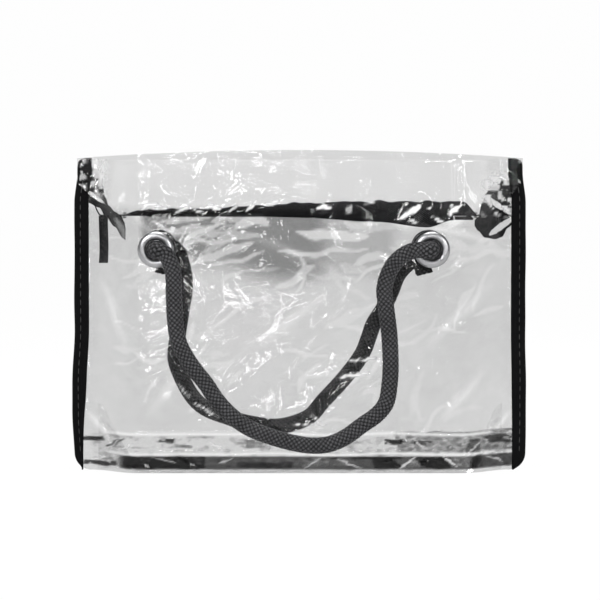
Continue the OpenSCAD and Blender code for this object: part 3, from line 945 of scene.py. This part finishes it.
def folded_reflection_tone(x, z, value):
    """The front film's tone near the bottom: painted reflections of folded film, with dark facets between
    painted highlights in pale lines, lightened by painted glints.
    """
    # painted reflections: a pale fold zone, mottled darker, and a dark grey band low down
    mottle = max(ripple(x, 1.7 * z, 7, TONE_SEED + 7) + 0.5 * ripple(x, 2 * z, 2.6, TONE_SEED + 8), 0)
    value = mix(value, FOLD_PALE * (1 - 0.8 * mottle), window(z, 1, 18.5, 1) * window(x, -104, 104, 6))
    value = mix(value, REFLECTED_BAND_GREY, window(z, 1.6, 8.6, 0.8) * window(x, -90, 106, 4))
    speckle = ripple(x, 2 * z, 3.2, TONE_SEED + 3)
    wander_x = 1.6 * ripple(x, z, 4, TONE_SEED + 4)
    wander_z = 0.7 * ripple(x, z, 7, TONE_SEED + 5)
    # painted glints that lighten the dark facets
    painted_glint = ease((facet(x, z, 2.0, 1.2, TONE_SEED + 6) - 0.96) / 0.03)
    for x0, x1, z0, z1, lean, dark in DARK_REFLECTIONS:
        inside = window(x - lean * (z - z0) + wander_x, x0, x1, 1.0) * window(z + wander_z, z0, z1, 0.6)
        if inside > 0:
            value = mix(value, dark * (1 + 0.9 * speckle), inside * (1 - 0.6 * painted_glint))
    # painted highlights along the weld lines
    for weld in WELDS:
        value = mix(value, WELD_HIGHLIGHT_TONE, 0.8 * weld_line(x, z, weld) * window(x, -98, 98, 8))
    return value


def painted_zip_shade(x, z):
    """How much painted shade the front film carries at a point, under the zip's dark strip: most under the
    zip, and less towards the right.
    """
    left = ZIP_SHADE_LEFT + 1.1 * window(z, 80, 122, 40) * (122 - z)
    across = ease((x - left) / 5) * ease((ZIP_SHADE_RIGHT - x) / 10) * mix(1, 0.45, ease((x - 5) / 15))
    low = ZIP_SHADE_LOW + 16 * ripple(x, z, 40, TONE_SEED + 2)
    return across * ease((z - low) / 18) * ease((ZIP_SHADE_TOP - z) / 3)


def front_tone(x, z):
    """How much light the front film lets through below the zip, with painted shade under the zip, and painted
    highlights in pale strokes and along its creases.
    """
    value = CLEAR_TONE["front"]
    value += 0.05 * ripple(x, z, 45, TONE_SEED + 1) + 0.02 * ripple(x, z, 6, TONE_SEED + 2)
    # painted shade under the zip's dark strip
    value = mix(value, ZIP_SHADE_TONE, painted_zip_shade(x, z))
    # painted highlights in pale brush-like strokes
    shift_x, shift_z = 3 * ripple(x, z, 13, TONE_SEED), 3 * ripple(x, z, 11, TONE_SEED + 1)
    value = mix(value, HIGHLIGHT_TONE, 0.85 * highlight_strokes(x + shift_x, z + shift_z, HIGHLIGHT_MARKS))
    # painted highlight along each crease
    return value + 0.45 * sum(line_ridge(x, z, crease) for crease in CREASES)


def panel_tone(x, z, side):
    """How much light a panel lets through: more above the zip, less in the hem, and with painted reflections
    in the bottom folds.
    """
    value = front_tone(x, z) if side == "front" else CLEAR_TONE[side]
    value = mix(value, TOP_TONE + 0.015 * ripple(x, z, 20, TONE_SEED), ease((z - ZIP_LINE) / 5))
    value *= mix(1, HEM_SHARE, ease((z - hinge.z) / 0.6))
    # painted reflections and highlights in the bottom folds
    return folded_reflection_tone(x, z, value) if side == "front" and z < FOLD_TOP else value


HIGHLIGHT_MARKS = aimed(BROAD_HIGHLIGHTS + make_highlight_strokes())
GLINT_MARKS = aimed(GLINT_STROKES)
PANEL_STEP = 1.0
FOLD_STEP = 0.5
FOLD_TOP = 22
PANEL_HALF = EDGE_X - 0.6
HOLE_R = EYELET_R * 0.72


def add_panel(side, corner_films):
    out = SIDES[side]
    fold_rows = round(FOLD_TOP / FOLD_STEP)
    upper_rows = round((BAG_H - FOLD_TOP) / PANEL_STEP)
    fold_share = FOLD_TOP / BAG_H
    levels = span(0, fold_share, fold_rows + 1)[:-1] + span(fold_share, 1, upper_rows)
    across = span(-PANEL_HALF, PANEL_HALF, round(2 * EDGE_X / PANEL_STEP))
    centres = [EYELETS[side, end] for end in ENDS]

    def point(x, level):
        corner = max(abs(x) - (HALF_W - BINDING_CORNER), 0)
        low = BINDING_CORNER - sqrt(max(BINDING_CORNER**2 - corner**2, 0)) + 0.1
        z = mix(low, top_z(x), level)
        return Vector((x, out * (film_y(x) + wrinkle(x, z, side)), z))

    def hole(middle):
        return any(hypot(middle.x - c.x, middle.z - c.z) < HOLE_R for c in centres)

    def tone(x, z):
        return panel_tone(x, z, side)

    panel = add_film(f"{side}_film", across, levels, point, tone, "bag", [f"{side}_panel"], hole=hole)
    if side == "front":
        # painted glints in the front film's sharpest creases and crushed corners
        paint(panel, "white", front_glints)
    outline = [Vector((x, film_y(x), 0)) for x in across]
    path_length(outline) * MM


# Bottom gusset

PLEAT_RISE = gusset_high.z
GUSSET_TONE = 0.97


def add_gusset():
    """The film bottom: flat, with pleated ends that rise between the panels."""
    across = span(gusset_low.x, gusset_high.x, 170)
    down = span(-1, 1, 41)

    def point(x, v):
        pleat = ease((abs(x) - FLAT_HALF + 2) / (gusset_high.x - FLAT_HALF + 2))
        half = room_y(x, 0.15)
        sag = 0.9 * max(ripple(x, 20 * v, 18, 5), 0) + 0.3 * max(ripple(x, 20 * v, 7, 6), 0)
        rise = mix(sag * (1 - v**4), (PLEAT_RISE - FILM_T) * (1 - abs(v)), pleat)
        return Vector((x, v * half, FILM_T / 2 + rise))

    def tone(x, z):
        return GUSSET_TONE - 0.05 * ease(0.4 + 1.4 * ripple(x, z, 24, 31))

    gusset = add_film("gusset_film", across, down, point, tone, "bag", ["bottom_gusset"])
    flat_size(across, down, point)


# Zip: facings, tapes, ends and tail

FACING_TONE = 0.975
FACING_T = 0.4
FACING_LOW_Y = TAPE_FLAT + 0.6
FACING_LOW_Z = ZIP_Z + 0.6


def open_with_flap(piece):
    """Bakes a half of the zip's place into its mesh, where it stays still."""
    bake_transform(piece)


def add_facing(side, end):
    out, way = SIDES[side], ENDS[end]
    across = span(0, way * (ZIP_HALF - 0.2), 60)

    def point(x, t):
        y, z = mix(hinge.y, FACING_LOW_Y, t), mix(hinge.z, FACING_LOW_Z, t)
        slack = -0.6 * abs(ripple(x, 30 * t, 22, 14 + out)) * sin(pi * t)
        slack -= 0.5 * abs(ripple(x, 30 * t, 5, 15 + out)) * window(t, 0.6, 1, 0.12)
        return Vector((x, out * (y + slack), z + slack / 2))

    facing = add_film(f"{side}_{end}_facing_film", across, span(0, 1, 22), point, even(FACING_TONE), None,
                      [f"{side}_zip_facing"], FACING_T)
    open_with_flap(facing)
    add_facing_end(side, end)


def add_facing_end(side, end):
    """The facing's end, which carries on from the flap to the side seam."""
    out, way = SIDES[side], ENDS[end]
    across = span(ZIP_HALF + 0.5, SEAM_X - 1.5, 24)
    down = span(0, 1, 18)

    def point(x, t):
        inner = room_y(x, 0.5)
        low_y = min(FACING_LOW_Y, inner)
        low_z = FACING_LOW_Z + 9 * ease((x - 90) / 12)
        slack = 0.9 * ripple(x, 30 * t, 12, 17 + out + way) + 0.4 * ripple(x, 30 * t, 4, 18 + out + way)
        slack *= sin(pi * t) * ease((SEAM_X - x) / 12)
        return Vector((way * x, out * mix(min(hinge.y, inner), low_y, t), mix(hinge.z, low_z, t) + slack))

    return add_film(f"{side}_{end}_facing_end", across, down, point, even(FACING_TONE), "bag",
                    thickness=FACING_T)


TAPE_SAG = {
    # places along the zip and how far each tape's fold hangs below the teeth there
    "front": [(-74, -1.6), (-40, -0.8), (0, 0.8), (37, 2.8), (62, 5.4), (74, 2.0)],
    "back": [(-74, -1.4), (0, 0.2), (74, 1.2)],
}
TOP_DIP = [(-84, 4.4), (-50, 3.9), (-22, 2.2), (2, 0.8), (30, 0.0)]
SAG_DRAW = 0.33
TAPE_LEAN = (hinge.y - TAPE_FLAT) / (hinge.z - ZIP_Z)


def add_tape(side, end):
    """A quarter of the woven strip: flat beside the teeth, then folded up behind the facing."""
    out, way = SIDES[side], ENDS[end]
    across = span(0, way * ZIP_HALF, 76)
    flat_rows, lap_rows = 10, 12

    def point(x, row):
        sag = curve_at(TAPE_SAG[side], x)
        fold_y = TAPE_FLAT - SAG_DRAW * max(sag, 0)
        edge_z = TAPE_TOP - curve_at(TOP_DIP, x) + 1.1 * ripple(x, 0, 6, 19 + out)
        if row < flat_rows:
            t = row / flat_rows
            y = mix(TEETH_Y, fold_y, t)
            z = ZIP_Z - sag * ease(t)
        else:
            t = (row - flat_rows) / (lap_rows - 1)
            z = mix(ZIP_Z - sag, edge_z, t)
            lap_y = TAPE_FLAT + (edge_z - ZIP_Z) * TAPE_LEAN
            y = mix(fold_y, lap_y, t)
        y -= 0.15 * abs(ripple(x, 9 * row, 10, 23))
        return Vector((x, out * y, z))

    rows = range(flat_rows + lap_rows)
    tape = add_woven(f"{side}_{end}_tape", across, rows, point, None, [f"{side}_zip_tape"])
    open_with_flap(tape)


TOOTH_PITCH = 2.4
TOOTH_L = 1.1
TOOTH_REACH = 0.4
RAIL_IN = TEETH_Y - 0.8


def block(across, low_y, high_y, half_h, bevel, out):
    """Points and faces of a bar along x with its ends at the given x values, bevelled along its edges."""
    ring = [(low_y, -half_h + bevel), (low_y + bevel, -half_h), (high_y - bevel, -half_h),
            (high_y, -half_h + bevel), (high_y, half_h - bevel), (high_y - bevel, half_h),
            (low_y + bevel, half_h), (low_y, half_h - bevel)]
    return swept(lambda x: [Vector((x, out * y, ZIP_Z + z)) for y, z in ring], across)


def add_teeth(side, end):
    """A quarter of the zip's teeth: moulded blocks on a rail, which reach between those across from them."""
    out, way = SIDES[side], ENDS[end]
    half_h = (teeth_high.z - teeth_low.z) / 2
    blocks = [block(span(0, way * ZIP_HALF, 60), RAIL_IN, TEETH_Y, half_h * 0.7, 0.2, out)]
    count = int(ZIP_HALF / TOOTH_PITCH)
    places = [i + 0.5 for i in range(count)] if side == "front" else range(0 if way > 0 else 1, count)
    for place in places:
        x = way * place * TOOTH_PITCH
        ends = [x - TOOTH_L / 2, x - TOOTH_L / 4, x + TOOTH_L / 4, x + TOOTH_L / 2]
        blocks.append(block(ends, -TOOTH_REACH, TEETH_Y - 0.05, half_h, 0.25, out))
    verts, faces = [], []
    for points, sides in blocks:
        faces += [tuple(len(verts) + i for i in f) for f in sides]
        verts += points
    teeth = add_piece(f"{side}_{end}_teeth", verts, faces, TEETH, None, "zip_teeth", [f"{side}_zip_teeth"])
    open_with_flap(teeth)


LEAF_EDGES = {
    # distance from the middle and height, for the lower and the upper edge of the folded tape end
    "left": (
        [(84.9, 112.2), (86, 113.2), (90, 118.7), (94.6, 124), (97.5, 128), (104.5, 130.7)],
        [(84.9, 117.5), (85.6, 121.5), (87, 124.2), (90, 126), (93, 129), (94.6, 133), (96.2, 139),
         (98.5, 145), (101, 147.5), (104.5, 148.5)],
    ),
    "right": (
        [(84.9, 119), (86.5, 116.8), (90, 113.4), (95, 112.7), (98, 113.6), (101.5, 118.2), (104.5, 121)],
        [(84.9, 122), (86.8, 123.5), (88.6, 130.5), (90.5, 135), (92.5, 138), (97, 139.5), (99, 142.5),
         (101, 141), (104.5, 144)],
    ),
}
LEAF_GAPS = {
    # both ends and half width of the openings between the folds of the tape end
    "left": [(94.8, 129.8, 103.9, 136.4, 1.1)],
    "right": [(89.2, 133.9, 102.8, 124.8, 1.4), (92.0, 114.8, 103.9, 123.0, 1.7)],
}
LEAF_Y = 3.2
SLOT_END = 87.4


def tape_end_half(x):
    """Half width of the tape's end, which narrows to the side seam."""
    return min(TAPE_FLAT, max(room_y(x, 0.6), 0.3))


def add_tape_end(side, end):
    """Half of the tape's end, beside the slot that the slider parks in, with its turned up edge."""
    out, way = SIDES[side], ENDS[end]
    across = span(ZIP_HALF + 0.1, SEAM_X + 2, 60)
    down = span(0, 2, 16)

    def point(x, v):
        half = tape_end_half(x)
        inner = min(TEETH_Y, half - 0.2) * (1 - ease((x - SLOT_END) / 1.5))
        rise = 10 * ease((x - 97) / 6)
        wall = (TAPE_TOP - ZIP_Z - curve_at(TOP_DIP, way * x)) * (1 - ease((x - 79) / 8)) * max(v - 1, 0)
        y = mix(inner, half, min(v, 1)) + wall * TAPE_LEAN
        return Vector((way * x, out * y, ZIP_Z + rise + wall))

    add_woven(f"{side}_{end}_tape_end", across, down, point, "bag", [f"{end}_zip_end"])


def in_leaf_gap(distance, z, end):
    """Whether a point lies in one of the lens-shaped openings of a folded tape end."""
    for *ends, half in LEAF_GAPS[end]:
        t, off = beside_line(distance, z, *ends)
        if 0 < t < 1 and abs(off) < half * sqrt(sin(pi * t)):
            return True
    return False


def add_leaf(end):
    """The folded edge of the tape's end, which hangs in a leaf in front of the pull and runs to the seam."""
    way = ENDS[end]
    lower, upper = LEAF_EDGES[end]
    across = span(lower[0][0], lower[-1][0], 70)
    down = span(0, 1, 52)

    def point(x, t):
        room = max(room_y(x, 0.8), 0)
        sway = 0.9 * abs(ripple(x, 12 * t, 9, 37 + way))
        y = min(LEAF_Y + sway, room)
        return Vector((way * x, -y, mix(curve_at(lower, x), curve_at(upper, x), t)))

    def hole(middle):
        return in_leaf_gap(way * middle.x, middle.z, end)

    add_woven(f"{end}_tape_leaf", across, down, point, "bag", [f"{end}_zip_end"], hole)


def add_tail():
    """The narrow strip of tape that hangs at the left end."""
    across = span(tail_low.x, tail_high.x, 7)

    def point(x, t):
        share = (x - tail_low.x) / (tail_high.x - tail_low.x)
        z = mix(tail_low.z, tail_high.z, t)
        bow = 0.35 * sin(2.2 * pi * t) * (1 - t)
        y = (tail_low.y + tail_high.y) / 2 + bow * cos(1.5 * (share - 0.5))
        return Vector((x + 0.5 * sin(3 * t) * (1 - t), y, z))

    add_woven("tape_tail", across, span(0, 1, 30), point, "bag", ["zip_tape_tail"])


for end in ENDS:
    for side in SIDES:
        add_facing(side, end)
        add_tape(side, end)
        add_teeth(side, end)
        add_tape_end(side, end)
    add_leaf(end)
add_tail()


# Side bindings

STITCH_PITCH = 4.2
STITCH_L = 2.9
STITCH_R = 0.24
STITCH_X = 106.9
STITCH_LOW = 9
STITCH_ROWS = int((BAG_H - 14) / STITCH_PITCH)
TOP_LEAN, LEAN_FROM, LEAN_OVER = 1.6, 130, 16
LOW_BULGE = {"left": 1.3, "right": 0.4}
LOW_TAPER = {"left": 3.0, "right": 0.6}
TAPER_TOP = 45
TOP_ROUND = 3.5
LIP_W = 1.5
LIP_HALF_T = 1.75
SLOT_HALF_T = 1.2


def top_lean(z):
    """How far a binding, and the film over it, is drawn in towards its top."""
    return TOP_LEAN * ease((z - LEAN_FROM) / LEAN_OVER)


def binding_shift(z, end):
    """How far a binding leans out: drawn in at the top, and bulging near the bottom."""
    return LOW_BULGE[end] * window(z, 0, 70, 30) - top_lean(z)


def binding_edge(z):
    """Outer edge of a binding, rounded at its lower corner and a little at its upper one."""
    below = max(BINDING_CORNER - z, 0)
    above = max(z - BAG_H + TOP_ROUND, 0)
    cut = BINDING_CORNER - sqrt(max(BINDING_CORNER**2 - below**2, 0))
    return HALF_W - cut - TOP_ROUND + sqrt(max(TOP_ROUND**2 - above**2, 0))


def binding_outline():
    """A binding's section as [x, y] points: tape folded round the seam, with a slot for the films."""
    round_x = HALF_W - BINDING_HALF_T
    face = [(BINDING_IN, LIP_HALF_T), (BINDING_IN + LIP_W, BINDING_HALF_T), (round_x - LIP_W, BINDING_HALF_T)]
    bend = [(round_x + BINDING_HALF_T * cos(turn), BINDING_HALF_T * sin(turn))
            for turn in span(pi / 2, -pi / 2, 9)]
    slot = [(BINDING_IN + 0.1, -SLOT_HALF_T), (HALF_W - 1, -SLOT_HALF_T), (HALF_W - 0.9, SLOT_HALF_T),
            (BINDING_IN + 0.1, SLOT_HALF_T)]
    return face + bend + [(x, -y) for x, y in reversed(face)] + slot


def add_binding(end):
    way = ENDS[end]
    heights = span(0.05, BAG_H, 150)
    outline = binding_outline()

    def section(z):
        sway = 0.35 * ripple(z, 0, 24, 43 + way)
        puff = 1 + 0.10 * ripple(z, 5, 9, 47 + way)
        inner = BINDING_IN + LOW_TAPER[end] * ease((TAPER_TOP - z) / TAPER_TOP)
        outer = max(binding_edge(z), inner + 0.7)
        ring = []
        for x, y in outline:
            share = (x - BINDING_IN) / (HALF_W - BINDING_IN)
            thick = y * puff if abs(y) > SLOT_HALF_T else y
            ring.append(Vector((way * (mix(inner, outer + sway, share) + binding_shift(z, end)), thick, z)))
        return ring

    verts, faces = swept(section, heights)
    add_piece(f"{end}_binding_tape", verts, faces, BINDING, "bag", "binding_tape", [f"{end}_binding"])


def add_stitches(end):
    """A row of thread stitches down each face of a binding."""
    way = ENDS[end]
    rings, sides = 7, 6
    verts, faces = [], []
    for face in SIDES.values():
        for i in range(STITCH_ROWS):
            faces += grid_faces(rings, sides, closed=True, start=len(verts))
            for t in span(0, 1, rings):
                z = STITCH_LOW + i * STITCH_PITCH + STITCH_L * t
                sink = BINDING_HALF_T - 0.12 + 0.30 * sin(pi * t)
                girth = STITCH_R * (0.55 + 0.45 * sin(pi * t))
                x = way * (STITCH_X + 0.15 * ripple(z, 0, 20, 53) + binding_shift(z, end))
                for k in range(sides):
                    turn = 2 * pi * k / sides
                    verts.append((x + girth * cos(turn), face * (sink + girth * sin(turn)), z))
    add_piece(f"{end}_stitches", verts, faces, THREAD, "bag", "binding_tape")


CRUMPLE_LOW = 131
CRUMPLE_IN = 93
# share of painted glint on the corner film
CORNER_GLINT_SHARE = 0.45
CORNER_TONE = 0.995
CORNER_T = FILM_T * 0.6


def add_crumple(side, end):
    """The loose corner of film that is folded over the top of a binding."""
    out, way = SIDES[side], ENDS[end]
    across = span(CRUMPLE_IN, HALF_W - 1.5, 30)
    down = span(0, 1, 36)

    def point(x, t):
        low = CRUMPLE_LOW + 9 * ease((x - 100) / 9) + 2 * ripple(x, 0, 5, 71)
        z = mix(low, BAG_H - 0.4, t)
        lift = 0.3 + 0.35 * ripple(x, z, 3.0, 73 + way) + 0.25 * ripple(x, z, 9, 75 + way)
        y = max(film_y(x), BINDING_HALF_T) + FILM_T + 0.5 + max(lift, -0.3)
        return Vector((way * (x - top_lean(z)), out * y, z))

    # painted glints on the crushed corner film
    def white(x, z):
        return CORNER_GLINT_SHARE * ease((abs(x) - BINDING_IN) / 2) * crushed_glints(x, z)

    film = add_film(f"{side}_{end}_corner_film", across, down, point, even(CORNER_TONE), "bag",
                    thickness=CORNER_T)
    paint(film, "white", white)
    return film


for end in ENDS:
    add_binding(end)
    add_stitches(end)
for side in SIDES:
    add_panel(side, [add_crumple(side, end) for end in ENDS])
add_gusset()


# CAD nodes that keep their shape

def coat(node, material):
    mesh = frame["nodes"][node].data
    mesh.materials.clear()
    mesh.materials.append(material)


for side in SIDES:
    for end in ENDS:
        coat(f"{side}_{end}_eyelet", NICKEL)
        coat(f"{side}_{end}_washer", NICKEL)
coat("zip_stops", NICKEL)
coat("zip_slider", ENAMEL)
coat("zip_pull", ENAMEL)


# Studio: white to the camera, soft grey to everything else

STUDIO_GREY = 0.5
GLOSS_GREY = 0.25
FLOOR_SHADOW = 0.02
FLOOR_FRONT = -520
FLOOR_SIZE = 6000


def white_to_view(tree, plain, mirrored):
    """A plain shader that is white to the camera and through glass, and by mirrored in reflections."""
    rays = add_node(tree, "LightPath")
    direct = add_math(tree, "MAXIMUM", rays.outputs["Is Camera Ray"], rays.outputs["Is Transmission Ray"])
    reflected = add_math(tree, "MULTIPLY", rays.outputs["Is Glossy Ray"], mirrored)
    seen = add_math(tree, "MULTIPLY", add_math(tree, "MAXIMUM", direct, reflected), 1 - FLOOR_SHADOW)
    white = add_node(tree, "Emission", Color=(1, 1, 1, 1), Strength=1.0)
    return mix_shaders(tree, seen, plain, white)


def add_world():
    """The room: a white backdrop behind the bag and grey walls, which are dimmer in reflections."""
    world = bpy.data.worlds.new("studio")
    world.use_nodes = True
    tree = world.node_tree
    tree.nodes.clear()
    towards = add_node(tree, "TexCoord").outputs["Generated"]
    depth = add_node(tree, "SeparateXYZ", Vector=towards).outputs["Y"]
    backdrop = add_node(tree, "MapRange", Value=depth, From_Min=-0.1, From_Max=0.4).outputs[0]
    glossy = add_node(tree, "LightPath").outputs["Is Glossy Ray"]
    dimmed = add_math(tree, "MULTIPLY", glossy, STUDIO_GREY - GLOSS_GREY)
    strength = add_math(tree, "SUBTRACT", STUDIO_GREY, dimmed)
    plain = add_node(tree, "Background", Color=(1, 1, 1, 1), Strength=strength)
    add_node(tree, "OutputWorld", Surface=white_to_view(tree, plain, backdrop).outputs[0])
    bpy.context.scene.world = world


def floor_shader(tree):
    plain = add_node(tree, "BsdfDiffuse", Color=(0.85, 0.85, 0.85, 1))
    return white_to_view(tree, plain, 1.0)


def add_floor():
    """A white table top that keeps the bag's shadow."""
    corners = [(-FLOOR_SIZE, FLOOR_FRONT, 0), (FLOOR_SIZE, FLOOR_FRONT, 0), (FLOOR_SIZE, FLOOR_SIZE, 0),
               (-FLOOR_SIZE, FLOOR_SIZE, 0)]
    mesh = bpy.data.meshes.new("floor")
    mesh.from_pydata([Vector(c) * MM for c in corners], [], [(0, 1, 2, 3)])
    mesh.materials.append(make_material("floor", floor_shader))
    add_object("floor", mesh)


LAMPS = [
    # name, place, width, height and power in watts
    ("key", (-620, -1150, 700), 420, 420, 7),
    ("fill", (740, -1150, 420), 420, 420, 5),
    ("top", (0, -150, 1200), 700, 400, 10),
    ("rim", (250, 900, 700), 500, 300, 6),
    ("strip_left", (-310, -1300, 340), 140, 140, 1.9),
    ("strip_right", (300, -1300, 210), 40, 130, 0.54),
    ("strip_high", (60, -1300, 470), 160, 40, 0.60),
    ("strip_low", (-120, -1300, 60), 130, 35, 0.45),
]


def add_lamp(name, place, width, height, power):
    data = bpy.data.lights.new(name, "AREA")
    data.shape = "RECTANGLE"
    data.size = width * MM
    data.size_y = height * MM
    data.energy = power
    lamp = add_object(name, data)
    lamp.location = Vector(place) * MM
    aim = Vector((0, 0, BAG_H / 2)) - Vector(place)
    lamp.rotation_euler = aim.to_track_quat("-Z", "Y").to_euler()


add_world()
add_floor()
for lamp in LAMPS:
    add_lamp(*lamp)

scene = bpy.context.scene
scene.view_settings.view_transform = "Standard"
scene.cycles.transparent_max_bounces = 48
